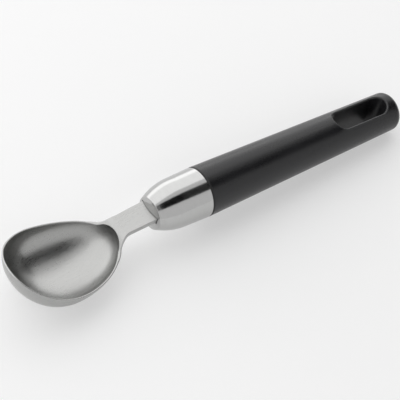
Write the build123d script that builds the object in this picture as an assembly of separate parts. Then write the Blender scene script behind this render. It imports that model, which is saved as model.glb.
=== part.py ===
from build123d import *
import os
from math import acos, cos, degrees, radians, sin, sqrt, tan

# A rigid ice cream scoop: a pressed steel head on a flat neck, a conical ferrule and a round grip.
# It is modelled with the handle's axis on X, the ferrule's rear edge at X = 0 and the bowl at -X,
# open upwards. At the end it is laid on its bowl and the grip's end, and moved to the row's origin.

# Grip
grip_front_radius = 11.8
grip_end_radius = 9.35
grip_length = 115.0
grip_end_fillet = 3.4
grip_front_chamfer = 0.3
grip_wall = 3.0

# Hanging slot through the grip, measured at its upper mouth and narrowing downwards by its draft
slot_length = 31.3
slot_width = 10.2
slot_corner_radius = 4.8
slot_draft_angle = 5.5
slot_end_wall = 6.5
slot_edge_fillet = 0.6

# Ferrule, flush with the grip where they meet
ferrule_rear_radius = grip_front_radius
ferrule_knee_radius = 11.3
ferrule_knee_x = -19.0
ferrule_knee_round = 30.0
ferrule_nose_radius = 7.7
ferrule_nose_x = -26.3
ferrule_nose_dome = 1.25
ferrule_nose_round = 0.5
ferrule_wall = 1.4
ferrule_nose_wall = 1.6
ferrule_edge_chamfer = 0.25

# Ring in the joint between ferrule and grip
ring_thickness = 0.5
ring_recess = 0.3

# Bowl, as its outer surface
bowl_centre_x = -74.1
bowl_front = 24.4
bowl_rear = 30.3
bowl_half_width = 20.85
bowl_bottom_z = -20.85
bowl_wall = 0.8
bowl_floor_wall = 1.5
bowl_foot_share = 0.07
front_fullness = 0.57
rear_fullness_along = 0.42
rear_fullness_across = 0.72

# Height of the bowl's rim over its length, and its rounding: at most a share of the wall
rim_tip_z = 3.1
rim_side_z = -5.7
rim_low_x = -62.0
rim_low_z = -7.0
rim_round = 0.4
round_share = 0.4

# Neck and tang, one sheet with the bowl
sheet_thickness = 2.7
neck_slope = 6.3
neck_drop_x = -43.0
neck_drop_angle = 55.0
neck_drop_round = 5.6
neck_level_round = 10.4
rim_rise_round = 3.0
neck_nose_half_width = 5.8
neck_waist_half_width = 5.5
neck_waist_x = -40.3
neck_under_round = 0.9
neck_flare_share = 0.775
neck_tail_length = 4.0
neck_tail_angle = 43.3
tang_top_z = 2.7
tang_half_width = 4.5
tang_shoulder_x = -21.0
tang_end_x = 58.0
tang_end_round = 3.0

# Core halves, pins and seal inside the handle
core_front_x = -19.5
core_end_x = 69.0
pin_radius = 1.5
pin_places = (13.0, 47.0)
pin_recess = 0.4

# Clearances
neck_clearance = 0.25
tang_clearance = 0.15
core_clearance = 0.15
ring_clearance = 0.15
pin_clearance = 0.05
seal_clearance = 0.1

# How far cutting bodies run past what they cut, and the distance within which edges touch
overrun = 2.0
cutter_size = 4 * grip_length
touching = 0.01

# Number of levels in the bowl's wall, and of halvings in the search for the angle of rest
wall_levels = 9
search_steps = 40

# Places that follow from the sizes
grip_front_x = ring_thickness
grip_end_x = grip_front_x + grip_length
slot_end_x = grip_end_x - slot_end_wall
slot_start_x = slot_end_x - slot_length
tang_middle_z = tang_top_z - sheet_thickness / 2
nose_front_x = ferrule_nose_x - ferrule_nose_dome
bowl_tip_x = bowl_centre_x - bowl_front
crease_x = bowl_centre_x + bowl_rear - bowl_wall


def grip_radius(x):
    """Outer radius of the tapered grip at x."""
    share = (x - grip_front_x) / grip_length
    return grip_front_radius + (grip_end_radius - grip_front_radius) * share


def turned(points, fillets=()):
    """Solid turned about X from a half profile, with named corners rounded."""
    face = make_face(Polyline(*[(x, r) for x, r in points], close=True))
    for x, r, radius in fillets:
        corner = face.vertices().sort_by_distance((x, r))[0]
        face = fillet(corner, radius)
    return revolve(face, Axis.X)


def ferrule_form(inset, front_x):
    """The ferrule's outer form, drawn in by inset, from front_x to its rear edge."""
    return turned(
        [
            (front_x, 0),
            (front_x, ferrule_nose_radius - inset),
            (ferrule_nose_x, ferrule_nose_radius - inset),
            (ferrule_knee_x, ferrule_knee_radius - inset),
            (0, ferrule_rear_radius - inset),
            (0, 0),
        ],
        [(ferrule_knee_x, ferrule_knee_radius - inset, ferrule_knee_round - inset)],
    )


def between(x_low, x_high):
    """Slab that keeps what lies from x_low to x_high."""
    return Pos((x_low + x_high) / 2, 0, 0) * Box(x_high - x_low, cutter_size, cutter_size)


def neck_top(x):
    """Height of the neck's straight top before it levels out in the ferrule."""
    return tang_top_z + (x - ferrule_nose_x) * tan(radians(neck_slope))


def drop_line(x):
    """Height of the line on which the neck drops from its straight top to the bowl."""
    return neck_top(neck_drop_x) + (x - neck_drop_x) * tan(radians(neck_drop_angle))


rim_rear_z = drop_line(crease_x)


def quarter_share(z, rim_z, floor_z):
    """How far the wall reaches out at height z: an upright ellipse under the rim's height."""
    depth = min(max((rim_z - z) / (rim_z - floor_z), 0), 1)
    return sqrt(1 - depth * depth)


def rear_point(share, reach, half_width):
    """Point of the rear half's outline, 0 at its widest place and 1 at its rear end."""
    keep = 1 - share
    along = 3 * share * keep**2 * rear_fullness_along + 3 * share**2 * keep + share**3
    across = keep**3 + 3 * share * keep**2 + 3 * share**2 * keep * rear_fullness_across
    return bowl_centre_x + reach * along, half_width * across


def egg_outline(front, rear, half_width, z):
    """Closed plan outline of the bowl at one height, round in front and drawn in behind."""
    x = bowl_centre_x
    round_x = front * front_fullness
    round_y = half_width * front_fullness
    rear_x = rear * rear_fullness_along
    rear_y = half_width * rear_fullness_across
    edges = []
    for side in (1, -1):
        tip = [(x - front, 0), (x - front, side * round_y), (x - round_x, side * half_width)]
        end = [(x + rear_x, side * half_width), (x + rear, side * rear_y), (x + rear, 0)]
        edges.append(Bezier(*tip, (x, side * half_width)))
        edges.append(Bezier((x, side * half_width), *end))
    return Pos(0, 0, z) * make_face(edges)


def bowl_form(inset, floor_z, top_z):
    """The bowl as a full body: stacked plan outlines from top_z down to its floor."""
    front = bowl_front - inset
    rear = bowl_rear - inset
    half_width = bowl_half_width - inset
    levels = [top_z, rim_tip_z, (rim_tip_z + rim_side_z) / 2, rim_side_z]
    foot_angle = acos(bowl_foot_share)
    for step in range(1, wall_levels + 1):
        levels.append(rim_side_z - (rim_side_z - floor_z) * sin(foot_angle * step / wall_levels))
    sections = []
    for z in levels:
        sections.append(
            egg_outline(
                front * quarter_share(z, rim_tip_z, floor_z),
                rear * quarter_share(z, rim_rear_z, floor_z),
                half_width * quarter_share(z, rim_side_z, floor_z),
                z,
            )
        )
    return loft(sections)


def rim_arc():
    """Rim line seen from the side: an arc through the tip's height and the lowest place."""
    reach = rim_low_x - bowl_tip_x
    rise = rim_tip_z - rim_low_z
    radius = (reach**2 + rise**2) / (2 * rise)
    return radius, rim_low_z + radius


def rim_height(x):
    """Height of the rim arc at x."""
    radius, centre_z = rim_arc()
    return centre_z - sqrt(radius**2 - (x - rim_low_x) ** 2)


def drop_foot():
    """Point where the neck's drop line meets the rim arc."""
    radius, centre_z = rim_arc()
    angle = radians(neck_drop_angle)
    off_x = neck_drop_x - rim_low_x
    off_z = neck_top(neck_drop_x) - centre_z
    ahead = off_x * cos(angle) + off_z * sin(angle)
    run = ahead + sqrt(ahead**2 + radius**2 - off_x**2 - off_z**2)
    foot_x = neck_drop_x - run * cos(angle)
    return foot_x, drop_line(foot_x)


def space_above():
    """Side view of the space above rim, neck and tang. Its lower edge is the head's top line."""
    start_x = bowl_tip_x - overrun
    start = (start_x, rim_height(start_x))
    foot = drop_foot()
    drop = (neck_drop_x, neck_top(neck_drop_x))
    level = (ferrule_nose_x, tang_top_z)
    end = (tang_end_x + overrun, tang_top_z)
    arc = ThreePointArc(start, (rim_low_x, rim_low_z), foot)
    rest = Polyline(foot, drop, level, end, (end[0], cutter_size), (start[0], cutter_size), start)
    face = make_face([arc, *rest.edges()])
    rounds = ((foot, rim_rise_round), (drop, neck_drop_round), (level, neck_level_round))
    for corner, radius in rounds:
        face = fillet(face.vertices().sort_by_distance(corner)[0], radius)
    return face


def slab_of(face):
    """Side-view face pushed out to both sides of the middle plane."""
    upright = Plane.XZ * face
    return extrude(upright, cutter_size / 2, both=True)


def neck_plan(grow):
    """Plan outline of the neck, which flares to the bowl's outline and runs on inside its wall."""
    flare_x, flare_y = rear_point(neck_flare_share, bowl_rear, bowl_half_width)
    tail_x = flare_x - neck_tail_length
    tail_y = flare_y + neck_tail_length * tan(radians(neck_tail_angle))
    waist_y = neck_waist_half_width + grow
    nose_y = neck_nose_half_width + grow
    shoulder_x = tang_shoulder_x + grow
    edges = []
    for side in (1, -1):
        waist = (neck_waist_x, side * waist_y)
        nose = (nose_front_x, side * nose_y)
        flare_end = (flare_x, side * flare_y)
        tail_end = (tail_x, side * tail_y)
        flare = TangentArc(waist, flare_end, tangent=(-1, 0))
        edges.append(Line((tail_x, 0), tail_end))
        edges.append(TangentArc(flare_end, tail_end, tangent=flare % 1))
        edges.append(flare)
        edges.append(Line(waist, nose))
        edges.append(Line(nose, (shoulder_x, side * nose_y)))
        edges.append(Line((shoulder_x, side * nose_y), (shoulder_x, 0)))
    return make_face(edges)


def tang_plan(grow):
    """Plan outline of the tang, which starts inside the neck."""
    start_x = tang_shoulder_x - overrun
    end_x = tang_end_x + grow
    tang = Rectangle(end_x - start_x, 2 * (tang_half_width + grow))
    tang = Pos((start_x + end_x) / 2, 0) * tang
    return fillet(tang.vertices().group_by(Axis.X)[-1], tang_end_round)


def strip(plan, grow):
    """Part of the bent sheet over a plan outline, thicker by grow on both faces."""
    above = space_above()
    band = slab_of(offset(above, amount=sheet_thickness + grow))
    band -= slab_of(offset(above, amount=-grow) if grow > 0 else above)
    return band & (Pos(0, 0, -cutter_size / 2) * extrude(plan, cutter_size))


def neck_space(grow):
    """The space that neck and tang need in the pieces round them, with a clearance of grow."""
    return strip(neck_plan(grow) + tang_plan(grow), grow)


def edges_on(body, other):
    """Edges of a body that run lengthways on another body's surface."""
    return [
        edge
        for edge in body.edges()
        if edge.bounding_box().size.X > touching and other.distance_to(edge @ 0.5) < touching
    ]


def make_scoop_head():
    """Bowl, neck and tang pressed from one sheet, with rounded rim and neck edges."""
    top_z = rim_tip_z + sheet_thickness
    edge_round = min(rim_round, round_share * bowl_wall)
    above = slab_of(space_above())
    inside = bowl_form(bowl_wall, bowl_bottom_z + bowl_floor_wall, top_z)
    bowl = bowl_form(0, bowl_bottom_z, top_z) - above
    bowl = fillet(edges_on(bowl, above), edge_round)
    neck = strip(neck_plan(0), 0)
    lengthways = [edge for edge in neck.edges() if edge.bounding_box().size.X > touching]
    under = [edge for edge in lengthways if above.distance_to(edge @ 0.5) > touching]
    neck = fillet(under, min(neck_under_round, round_share * sheet_thickness))
    neck = fillet(edges_on(neck, above), edge_round)
    head = bowl + neck - inside
    inner_rim = [edge for edge in edges_on(head, above) if inside.distance_to(edge @ 0.5) < touching]
    head = fillet(inner_rim, edge_round)
    head += strip(tang_plan(0), 0)
    for x in pin_places:
        head -= pin_at(x, pin_radius + pin_clearance, 0)
    return head


def make_ferrule():
    """Hollow steel sleeve with a domed nose and the neck's slot."""
    nose = (ferrule_nose_x, ferrule_nose_radius)
    knee = (ferrule_knee_x, ferrule_knee_radius)
    rear = (0, ferrule_rear_radius)
    dome_radius = (ferrule_nose_radius**2 + ferrule_nose_dome**2) / (2 * ferrule_nose_dome)
    dome = RadiusArc((nose_front_x, 0), nose, dome_radius)
    sides = Polyline(nose, knee, rear, (0, 0), (nose_front_x, 0))
    face = make_face([dome, *sides.edges()])
    rounds = ((nose, ferrule_nose_round), (knee, ferrule_knee_round))
    for corner, radius in rounds:
        face = fillet(face.vertices().sort_by_distance(corner)[0], radius)
    face = chamfer(face.vertices().sort_by_distance(rear)[0], ferrule_edge_chamfer)
    body = revolve(face, Axis.X)
    body -= ferrule_form(ferrule_wall, nose_front_x + ferrule_nose_wall)
    return body - neck_space(neck_clearance)


def core_radius(x):
    """Outer radius of the core inside the grip at x."""
    return grip_radius(x) - grip_wall - core_clearance


def make_core_body():
    """The whole core before it is split: front spigot, shoulder and rear taper."""
    spigot = ferrule_form(ferrule_wall + core_clearance, nose_front_x)
    spigot &= between(core_front_x, 0)
    shoulder_radius = ferrule_rear_radius - ferrule_wall - core_clearance
    shoulder = Pos(ring_thickness / 2, 0, 0) * Rot(0, 90, 0) * Cylinder(
        shoulder_radius, ring_thickness
    )
    rear = turned(
        [
            (0, 0),
            (0, core_radius(0)),
            (core_end_x, core_radius(core_end_x)),
            (core_end_x, 0),
        ]
    )
    return spigot + shoulder + rear


def pin_at(x, radius, recess):
    """Upright cross pin through core and tang at x, short of the core's surface by recess."""
    length = 2 * (core_radius(x) - recess)
    return Pos(x, 0, 0) * Cylinder(radius, length)


def make_core_halves():
    """Upper and lower core half, split at the middle of the tang that they clamp."""
    core = make_core_body()
    core -= neck_space(tang_clearance)
    for x in pin_places:
        core -= pin_at(x, pin_radius + pin_clearance, -grip_wall / 2)
    above = Box(cutter_size, cutter_size, cutter_size, align=(Align.CENTER, Align.CENTER, Align.MIN))
    above = Pos(0, 0, tang_middle_z) * above
    return core & above, core - above


def make_tang_pins():
    """Steel cross pins, flush below the core's surface."""
    return [pin_at(x, pin_radius, pin_recess) for x in pin_places]


def make_nose_seal():
    """Soft plug between the nose and the core, round the neck."""
    inner_front = nose_front_x + ferrule_nose_wall
    plug = ferrule_form(ferrule_wall + seal_clearance, inner_front)
    plug &= between(inner_front + seal_clearance, core_front_x - seal_clearance)
    return plug - neck_space(seal_clearance)


def make_joint_ring():
    """Thin ring between the ferrule's rear edge and the grip."""
    outer = ferrule_rear_radius - ring_recess
    inner = ferrule_rear_radius - ferrule_wall - core_clearance + ring_clearance
    ring = Cylinder(outer, ring_thickness) - Cylinder(inner, ring_thickness)
    return Pos(ring_thickness / 2, 0, 0) * Rot(0, 90, 0) * ring


def make_grip():
    """Moulded grip: tapered, closed at its end, with the hanging slot through it."""
    body = turned(
        [
            (grip_front_x, 0),
            (grip_front_x, grip_front_radius),
            (grip_end_x, grip_end_radius),
            (grip_end_x, 0),
        ],
        [(grip_end_x, grip_end_radius, grip_end_fillet)],
    )
    front_edge = body.edges().filter_by(GeomType.CIRCLE).group_by(Axis.X)[0]
    body = chamfer(front_edge, grip_front_chamfer)
    middle_x = (slot_start_x + slot_end_x) / 2
    mouth_z = sqrt(grip_radius(middle_x) ** 2 - (slot_width / 2) ** 2)
    top_z = grip_front_radius + overrun
    widening = (top_z - mouth_z) * tan(radians(slot_draft_angle))
    slot = RectangleRounded(
        slot_length + 2 * widening,
        slot_width + 2 * widening,
        slot_corner_radius + widening,
    )
    slot = extrude(Pos(middle_x, 0, top_z) * slot, -2 * top_z, taper=slot_draft_angle)
    before = body.edges()
    body -= slot
    mouth_edges = [
        edge
        for edge in body.edges() - before
        if abs(edge.center().Z) > grip_end_radius / 2 and edge.center().X > slot_start_x - overrun
    ]
    body = fillet(mouth_edges, slot_edge_fillet)
    cavity_end = core_end_x + core_clearance
    cavity = turned(
        [
            (grip_front_x, 0),
            (grip_front_x, grip_radius(grip_front_x) - grip_wall),
            (cavity_end, grip_radius(cavity_end) - grip_wall),
            (cavity_end, 0),
        ]
    )
    return body - cavity


def make_nodes():
    """Every piece under its node's name, with the handle's axis on X."""
    upper, lower = make_core_halves()
    return {
        "scoop_head": [make_scoop_head()],
        "ferrule": [make_ferrule()],
        "nose_seal": [make_nose_seal()],
        "joint_ring": [make_joint_ring()],
        "core_upper": [upper],
        "core_lower": [lower],
        "tang_pins": make_tang_pins(),
        "handle_grip": [make_grip()],
    }


def reach_down_bowl(angle):
    """How far the bowl reaches down when the handle's end is lowered by angle."""
    depth = rim_rear_z - bowl_bottom_z
    centre = bowl_centre_x * sin(angle) - rim_rear_z * cos(angle)
    return centre + sqrt((bowl_rear * sin(angle)) ** 2 + (depth * cos(angle)) ** 2)


def reach_down_grip(angle):
    """How far the grip's rounded end reaches down at the same angle."""
    x = grip_end_x - grip_end_fillet
    r = grip_radius(x) - grip_end_fillet
    return x * sin(angle) + r * cos(angle) + grip_end_fillet


def rest_angle():
    """Angle at which bowl and grip's end touch the same flat surface."""
    low = 0.0
    high = radians(neck_drop_angle)
    for _ in range(search_steps):
        middle = (low + high) / 2
        if reach_down_bowl(middle) > reach_down_grip(middle):
            low = middle
        else:
            high = middle
    return middle


def main():
    nodes = make_nodes()
    angle = rest_angle()
    turn = Rot(0, degrees(angle), 0)
    laid = {name: [turn * solid for solid in solids] for name, solids in nodes.items()}
    box = Compound([solid for solids in laid.values() for solid in solids]).bounding_box()
    shift = Pos(-(box.min.X + box.max.X) / 2, 0, reach_down_bowl(angle))
    os.makedirs("parts", exist_ok=True)
    for name, solids in laid.items():
        placed = [shift * solid for solid in solids]
        shape = placed[0] if len(placed) == 1 else Compound(children=placed)
        export_step(shape, f"parts/{name}.step")


main()
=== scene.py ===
import math

import bpy
from mathutils import Matrix, Vector

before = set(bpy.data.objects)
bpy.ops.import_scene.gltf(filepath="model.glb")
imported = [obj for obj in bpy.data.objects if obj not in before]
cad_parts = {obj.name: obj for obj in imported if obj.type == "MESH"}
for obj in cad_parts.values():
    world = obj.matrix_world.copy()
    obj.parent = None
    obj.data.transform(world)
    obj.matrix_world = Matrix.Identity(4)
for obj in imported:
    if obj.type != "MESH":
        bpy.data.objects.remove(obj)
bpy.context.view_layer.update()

# Looks of a rigid ice cream scoop: satin steel head and ferrule, charcoal grip with a hanging slot.
# Everything is in metres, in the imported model's frame: the bowl towards -X, the grip's end at +X.

# Camera, at the photo's viewpoint
CAMERA_AIM = (-0.0076, -0.0014, 0.0118)
CAMERA_DISTANCE = 0.7117
CAMERA_AZIMUTH = -46.84
CAMERA_ELEVATION = 51.40
CAMERA_ROLL = 14.23
LENS_MM = 144.0
SENSOR_MM = 36.0
NEAREST_SEEN = 0.01
FARTHEST_SEEN = 20.0

# The handle's axis: a point on it at the grip's joint with the ferrule, and its fall towards the
# grip's end
HANDLE_START = (-0.008751, 0.0, 0.016329)
HANDLE_TILT = math.radians(3.538)
MM_PER_METRE = 1000.0

# Rubbed edges of the steel, and the grip's edges near the slot that carry a painted highlight: their width
# in metres, and how much smoother they are than the rest
STEEL_RUB_WIDTH = 0.0005
GRIP_HIGHLIGHT_WIDTH = 0.0009
HEAD_RUB_SMOOTHING = 0.05
FERRULE_RUB_SMOOTHING = 0.04
GRIP_EDGE_SMOOTHING = 0.06

# An edge is where a rounded normal leans from the true one: cosines at a full edge and at none
EDGE_COSINE = 0.9
SMOOTH_COSINE = 0.995
EDGE_SAMPLES = 6

# Where along the handle, in mm from its joint, the painted highlight on the grip's edges starts and is full
GRIP_HIGHLIGHT_START_MM = 60.0
GRIP_HIGHLIGHT_FULL_MM = 75.0

# Noise cells to a millimetre along X, Y and Z, where brushing, turning or moulding draws them out
BRUSHING_CELLS = (0.5, 6.0, 6.0)
STREAK_CELLS = (0.1, 1.3, 1.3)
FERRULE_RING_CELLS = (9.0, 0.25, 0.25)
PIN_RING_CELLS = (0.3, 8.0, 0.3)
GRIP_CLOUD_CELLS = (0.036, 0.12, 0.12)

# Roughness of each surface, from its smoothest to its roughest fine detail
HEAD_ROUGHNESS = (0.27, 0.34)
FERRULE_ROUGHNESS = (0.12, 0.17)
PIN_ROUGHNESS = (0.22, 0.34)
GRIP_ROUGHNESS = (0.26, 0.33)
MOULDED_SPREAD = 0.06

# What cloudy and streaky patches add to it
HEAD_CLOUDING = (-0.02, 0.02)
HEAD_STREAKING = (-0.025, 0.025)
FERRULE_CLOUDING = (-0.01, 0.02)
GRIP_CLOUDING = (-0.03, 0.03)

# Shares of brushing, clouds and streaks in the head's tone
BRUSHING_SHARE = 0.5
CLOUD_SHARE = 0.25
STREAK_SHARE = 0.25

# Depths of the finest relief, in metres
BRUSHING_DEPTH = 0.000004
STEEL_GRAIN_DEPTH = 0.0000015
PIN_RING_DEPTH = 0.000005
PLASTIC_GRAIN_DEPTH = 0.00002
RING_GRAIN_DEPTH = 0.00001

# Colours: the darker and the lighter tone of a surface, and its rubbed edges; the grip's edge colour is a
# painted highlight
HEAD_DARK = (0.37, 0.37, 0.363)
HEAD_LIGHT = (0.485, 0.485, 0.477)
HEAD_RUBBED = (0.62, 0.62, 0.61)
FERRULE_DARK = (0.46, 0.46, 0.455)
FERRULE_LIGHT = (0.525, 0.525, 0.52)
GRIP_DARK = (0.0105, 0.0105, 0.0115)
GRIP_LIGHT = (0.0145, 0.0145, 0.016)
# Painted highlight: a pale colour on the grip's edges near the slot, standing in for the shine of the slot's
# rim
GRIP_PAINTED_HIGHLIGHT = (0.19, 0.19, 0.195)
SEAL_DARK = (0.012, 0.012, 0.012)
SEAL_LIGHT = (0.02, 0.02, 0.02)
RING_DARK = (0.008, 0.008, 0.008)
RING_LIGHT = (0.014, 0.014, 0.014)
CORE_DARK = (0.15, 0.15, 0.15)
CORE_LIGHT = (0.2, 0.2, 0.2)

# Specular level of the grip's plastic
GRIP_SPECULAR = 0.42

# Studio: brightness of the world, colour and size of the floor, and the share of the floor's white
# that is its own, for the rays by which camera, metal and glass see the background
WORLD_LEVEL = 0.8
FLOOR_COLOUR = 0.97
FLOOR_SIZE = 60.0
BACKGROUND_SHARE = 0.4
STUDIO_CENTRE = Vector((0.0, 0.0, 0.015))
CARD_DISTANCE = 0.6
TOP_CARDS_ELEVATION = 68.0

# The Mix node's colour sockets, which share their names with its other sockets
MIX_A = 6
MIX_B = 7
MIX_RESULT = 2


def direction(azimuth, elevation):
    """Unit vector from the object towards a place at that azimuth (0 is -Y, 90 is +X) and elevation."""
    a = math.radians(azimuth)
    e = math.radians(elevation)
    return Vector((math.sin(a) * math.cos(e), -math.cos(a) * math.cos(e), math.sin(e)))


def make_camera():
    """Camera at the photo's viewing angle, turned about its own axis by the roll."""
    camera = bpy.data.objects.new("camera", bpy.data.cameras.new("camera"))
    bpy.context.scene.collection.objects.link(camera)
    back = direction(CAMERA_AZIMUTH, CAMERA_ELEVATION)
    right = Vector((0, 0, 1)).cross(back).normalized()
    level = Matrix((right, back.cross(right), back)).transposed()
    roll = Matrix.Rotation(math.radians(CAMERA_ROLL), 3, "Z")
    camera.rotation_mode = "QUATERNION"
    camera.rotation_quaternion = (level @ roll).to_quaternion()
    camera.location = Vector(CAMERA_AIM) + back * CAMERA_DISTANCE
    camera.data.lens = LENS_MM
    camera.data.sensor_width = SENSOR_MM
    camera.data.clip_start = NEAREST_SEEN
    camera.data.clip_end = FARTHEST_SEEN
    bpy.context.scene.camera = camera


class Nodes:
    """A material's node tree, with short calls that add nodes and link their sockets."""

    def __init__(self, name):
        self.material = bpy.data.materials.new(name)
        self.material.use_nodes = True
        self.tree = self.material.node_tree
        self.tree.nodes.clear()

    def add(self, kind, inputs=(), **settings):
        """Node of that kind. An input is (socket, value), where a value may be another node's output."""
        node = self.tree.nodes.new("ShaderNode" + kind)
        for name, value in settings.items():
            setattr(node, name, value)
        for socket, value in inputs:
            if isinstance(value, bpy.types.NodeSocket):
                self.tree.links.new(value, node.inputs[socket])
            else:
                node.inputs[socket].default_value = value
        return node

    def place(self, tilt=0.0, origin=(0, 0, 0), cells=(1, 1, 1)):
        """Object coordinates from origin, turned about Y by tilt, then scaled to cells per millimetre."""
        place = self.add("TexCoord").outputs["Object"]
        shift = tuple(-c for c in origin)
        scale = tuple(MM_PER_METRE * c for c in cells)
        moved = self.add("Mapping", [("Vector", place), ("Location", shift)]).outputs[0]
        turned = self.add("Mapping", [("Vector", moved), ("Rotation", (0, -tilt, 0))]).outputs[0]
        return self.add("Mapping", [("Vector", turned), ("Scale", scale)]).outputs[0]

    def noise(self, vector, scale=1.0, detail=3.0, roughness=0.55):
        """Noise from 0 to 1, with scale cells to a unit of vector."""
        inputs = [("Vector", vector), ("Scale", scale), ("Detail", detail), ("Roughness", roughness)]
        return self.add("TexNoise", inputs).outputs["Fac"]

    def span(self, value, low, high, start=0.3, end=0.7):
        """Value taken from the range start to end to the range low to high, and kept within it."""
        inputs = [("Value", value), ("From Min", start), ("From Max", end)]
        inputs += [("To Min", low), ("To Max", high)]
        return self.add("MapRange", inputs).outputs[0]

    def maths(self, operation, a, b):
        """A and b, put together by that operation."""
        return self.add("Math", [(0, a), (1, b)], operation=operation).outputs[0]

    def blend(self, factor, a, b):
        """Colour from a to b by factor."""
        inputs = [("Factor", factor), (MIX_A, (*a, 1)), (MIX_B, (*b, 1))]
        return self.add("Mix", inputs, data_type="RGBA").outputs[MIX_RESULT]

    def over(self, colour, factor, wear_and_highlight_colour):
        """Colour of worn places on the steel, and of the grip's painted highlight, over another node's
        colour.
        """
        inputs = [("Factor", factor), (MIX_A, colour), (MIX_B, (*wear_and_highlight_colour, 1))]
        return self.add("Mix", inputs, data_type="RGBA").outputs[MIX_RESULT]

    def bump(self, height, depth, normal=None):
        """Normal of a relief that is depth metres deep where height goes from 0 to 1."""
        inputs = [("Height", height), ("Strength", 1.0), ("Distance", depth)]
        if normal is not None:
            inputs.append(("Normal", normal))
        return self.add("Bump", inputs).outputs[0]

    def edges(self, radius):
        """1 where an outer or inner edge is within radius metres, 0 on smooth surfaces."""
        rounded = self.add("Bevel", [("Radius", radius)], samples=EDGE_SAMPLES).outputs[0]
        flat = self.add("NewGeometry").outputs["Normal"]
        dot = self.add("VectorMath", [(0, rounded), (1, flat)], operation="DOT_PRODUCT").outputs["Value"]
        return self.span(dot, 1.0, 0.0, start=EDGE_COSINE, end=SMOOTH_COSINE)

    def smoothed(self, rough, wear_and_highlight_edges, smoothing):
        """Roughness less smoothing along worn edges, and along the grip's edges with a painted highlight."""
        return self.maths("SUBTRACT", rough, self.maths("MULTIPLY", wear_and_highlight_edges, smoothing))

    def finish(self, **inputs):
        """Material of the one shader, whose sockets are named by inputs."""
        sockets = [(name.replace("_", " "), value) for name, value in inputs.items()]
        shader = self.add("BsdfPrincipled", sockets)
        self.add("OutputMaterial", [("Surface", shader.outputs[0])])
        return self.material


def head_steel():
    """Satin steel: fine brushing and faint streaks along the scoop, and a worn bright rim."""
    n = Nodes("head_steel")
    fine = n.noise(n.place(cells=BRUSHING_CELLS), detail=4.0, roughness=0.6)
    cloud = n.noise(n.place(), scale=0.09, detail=2.0)
    grain = n.noise(n.place(), scale=9.0, detail=2.0)
    streak = n.noise(n.place(cells=STREAK_CELLS))
    wear_and_highlight_edges = n.edges(STEEL_RUB_WIDTH)
    tone = n.maths("ADD", n.maths("MULTIPLY", fine, BRUSHING_SHARE), n.maths("MULTIPLY", cloud, CLOUD_SHARE))
    tone = n.maths("ADD", tone, n.maths("MULTIPLY", streak, STREAK_SHARE))
    colour = n.blend(n.span(tone, 0.0, 1.0), HEAD_DARK, HEAD_LIGHT)
    colour = n.over(colour, wear_and_highlight_edges, HEAD_RUBBED)
    rough = n.maths("ADD", n.span(fine, *HEAD_ROUGHNESS), n.span(cloud, *HEAD_CLOUDING))
    rough = n.maths("ADD", rough, n.span(streak, *HEAD_STREAKING))
    rough = n.smoothed(rough, wear_and_highlight_edges, HEAD_RUB_SMOOTHING)
    relief = n.bump(fine, BRUSHING_DEPTH, n.bump(grain, STEEL_GRAIN_DEPTH))
    return n.finish(Base_Color=colour, Metallic=1.0, Roughness=rough, Normal=relief)


def ferrule_steel():
    """Satin steel turned on its axis: fine grooves run round the ferrule."""
    n = Nodes("ferrule_steel")
    rings = n.noise(n.place(HANDLE_TILT, HANDLE_START, FERRULE_RING_CELLS), detail=4.0, roughness=0.6)
    cloud = n.noise(n.place(), scale=0.12, detail=2.0)
    wear_and_highlight_edges = n.edges(STEEL_RUB_WIDTH)
    colour = n.blend(n.span(rings, 0.0, 1.0), FERRULE_DARK, FERRULE_LIGHT)
    rough = n.maths("ADD", n.span(rings, *FERRULE_ROUGHNESS), n.span(cloud, *FERRULE_CLOUDING))
    rough = n.smoothed(rough, wear_and_highlight_edges, FERRULE_RUB_SMOOTHING)
    relief = n.bump(rings, BRUSHING_DEPTH)
    return n.finish(Base_Color=colour, Metallic=1.0, Roughness=rough, Normal=relief)


def grip_plastic():
    """Charcoal plastic with a fine moulded grain, smoother at the slot's edges, with a painted highlight
    there in a pale edge colour.
    """
    n = Nodes("grip_plastic")
    pits = n.noise(n.place(), scale=3.2, roughness=0.6)
    cloud = n.noise(n.place(HANDLE_TILT, HANDLE_START, GRIP_CLOUD_CELLS))
    along = n.add("SeparateXYZ", [("Vector", n.place(HANDLE_TILT, HANDLE_START))]).outputs["X"]
    # Painted highlight: a mask of the grip's edges near the slot, where the colour goes pale and the finish
    # smoother
    near_slot = n.span(along, 0.0, 1.0, start=GRIP_HIGHLIGHT_START_MM, end=GRIP_HIGHLIGHT_FULL_MM)
    wear_and_highlight_edges = n.maths("MULTIPLY", n.edges(GRIP_HIGHLIGHT_WIDTH), near_slot)
    colour = n.blend(n.span(cloud, 0.0, 1.0), GRIP_DARK, GRIP_LIGHT)
    # Painted highlight laid over the grip's own colour
    colour = n.over(colour, wear_and_highlight_edges, GRIP_PAINTED_HIGHLIGHT)
    rough = n.maths("ADD", n.span(pits, *GRIP_ROUGHNESS), n.span(cloud, *GRIP_CLOUDING))
    rough = n.smoothed(rough, wear_and_highlight_edges, GRIP_EDGE_SMOOTHING)
    relief = n.bump(pits, PLASTIC_GRAIN_DEPTH)
    return n.finish(Base_Color=colour, Roughness=rough, Specular_IOR_Level=GRIP_SPECULAR, Normal=relief)


def moulded(name, dark, light, roughness, grain_cells, depth=PLASTIC_GRAIN_DEPTH):
    """Moulded plastic or rubber with a cloudy tone and a fine grain."""
    n = Nodes(name)
    grain = n.noise(n.place(), scale=grain_cells)
    cloud = n.noise(n.place(), scale=0.2, detail=2.0)
    colour = n.blend(n.span(cloud, 0.0, 1.0), dark, light)
    rough = n.span(grain, roughness - MOULDED_SPREAD, roughness + MOULDED_SPREAD)
    return n.finish(Base_Color=colour, Roughness=rough, Normal=n.bump(grain, depth))


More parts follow.
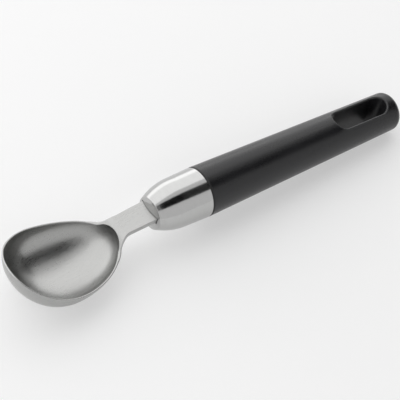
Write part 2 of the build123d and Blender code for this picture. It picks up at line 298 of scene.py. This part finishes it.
def pin_steel():
    """Turned steel: fine rings across the pins, which lie along Y."""
    n = Nodes("pin_steel")
    rings = n.noise(n.place(cells=PIN_RING_CELLS))
    colour = n.blend(n.span(rings, 0.0, 1.0), FERRULE_DARK, FERRULE_LIGHT)
    relief = n.bump(rings, PIN_RING_DEPTH)
    return n.finish(Base_Color=colour, Metallic=1.0, Roughness=n.span(rings, *PIN_ROUGHNESS), Normal=relief)


def floor_white():
    """White floor, which keeps the object's shadow over its own share of white."""
    n = Nodes("floor_white")
    path = n.add("LightPath")
    seen = n.maths("MAXIMUM", path.outputs["Is Camera Ray"], path.outputs["Is Glossy Ray"])
    seen = n.maths("MAXIMUM", seen, path.outputs["Is Transmission Ray"])
    share = n.maths("MULTIPLY", seen, BACKGROUND_SHARE)
    lit = n.add("BsdfDiffuse", [("Color", (FLOOR_COLOUR, FLOOR_COLOUR, FLOOR_COLOUR, 1))]).outputs[0]
    white = n.add("Emission", [("Color", (1, 1, 1, 1)), ("Strength", 1.0)]).outputs[0]
    mix = n.add("MixShader", [(0, share), (1, lit), (2, white)])
    n.add("OutputMaterial", [("Surface", mix.outputs[0])])
    return n.material


def card_paint(name, grey):
    """Plain matte paint of that grey."""
    n = Nodes(name)
    paint = n.add("BsdfDiffuse", [("Color", (grey, grey, grey, 1))])
    n.add("OutputMaterial", [("Surface", paint.outputs[0])])
    return n.material


def dress(material, *nodes):
    """Give the nodes that material alone."""
    for name in nodes:
        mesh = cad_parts[name].data
        mesh.materials.clear()
        mesh.materials.append(material)


def make_plane(name, width, height, material):
    """Level rectangle at the frame's origin."""
    mesh = bpy.data.meshes.new(name)
    x = width / 2
    y = height / 2
    mesh.from_pydata([(-x, -y, 0), (x, -y, 0), (x, y, 0), (-x, y, 0)], [], [(0, 1, 2, 3)])
    mesh.materials.append(material)
    plane = bpy.data.objects.new(name, mesh)
    bpy.context.scene.collection.objects.link(plane)
    return plane


def make_softbox(name, azimuth, elevation, distance, width, height, level):
    """Large area lamp that faces the object. Level sets how bright its face is, at any size."""
    data = bpy.data.lights.new(name, "AREA")
    data.shape = "RECTANGLE"
    data.size = width
    data.size_y = height
    data.energy = level * width * height * math.pi
    lamp = bpy.data.objects.new(name, data)
    bpy.context.scene.collection.objects.link(lamp)
    back = direction(azimuth, elevation)
    lamp.location = STUDIO_CENTRE + back * distance
    lamp.rotation_mode = "QUATERNION"
    lamp.rotation_quaternion = back.to_track_quat("Z", "Y")
    lamp.visible_camera = False


def make_card(name, azimuth, elevation, width, height, grey, along=0.0):
    """Card at a place that is shifted along X, for steel to mirror as a band. The camera doesn't see it."""
    card = make_plane(name, width, height, card_paint(name, grey))
    back = direction(azimuth, elevation)
    card.location = STUDIO_CENTRE + back * CARD_DISTANCE + Vector((along, 0, 0))
    card.rotation_mode = "QUATERNION"
    card.rotation_quaternion = (-back).to_track_quat("Z", "Y")
    card.visible_camera = False


def make_world():
    """Even white light from all sides."""
    world = bpy.data.worlds.new("studio")
    world.use_nodes = True
    background = world.node_tree.nodes["Background"]
    background.inputs["Color"].default_value = (1, 1, 1, 1)
    background.inputs["Strength"].default_value = WORLD_LEVEL
    bpy.context.scene.world = world


make_camera()

seal = moulded("seal_rubber", SEAL_DARK, SEAL_LIGHT, roughness=0.7, grain_cells=4.0)
ring = moulded("ring_plastic", RING_DARK, RING_LIGHT, roughness=0.6, grain_cells=5.0, depth=RING_GRAIN_DEPTH)
core = moulded("core_plastic", CORE_DARK, CORE_LIGHT, roughness=0.5, grain_cells=2.0)
dress(head_steel(), "scoop_head")
dress(ferrule_steel(), "ferrule")
dress(pin_steel(), "tang_pins")
dress(grip_plastic(), "handle_grip")
dress(seal, "nose_seal")
dress(ring, "joint_ring")
dress(core, "core_upper", "core_lower")

make_plane("floor", FLOOR_SIZE, FLOOR_SIZE, floor_white())
make_softbox("softbox_back", azimuth=188.0, elevation=40.0, distance=1.8, width=6.8, height=3.0, level=0.65)
make_softbox("softbox_low", azimuth=183.0, elevation=13.0, distance=1.75, width=4.4, height=0.7, level=0.45)

# The dark band on steel and grip comes from the top cards, and the bowl's dark tip wall from the side card
make_card("card_top", 0.0, TOP_CARDS_ELEVATION, width=0.5, height=0.35, grey=0.005, along=0.005)
make_card("card_top_left", 0.0, TOP_CARDS_ELEVATION, width=0.24, height=0.35, grey=0.35, along=-0.365)
make_card("card_top_right", 0.0, TOP_CARDS_ELEVATION, width=0.6, height=0.38, grey=0.035, along=0.555)
make_card("card_side", azimuth=80.0, elevation=28.0, width=0.42, height=0.38, grey=0.05)
make_world()

bpy.context.scene.view_settings.view_transform = "Standard"
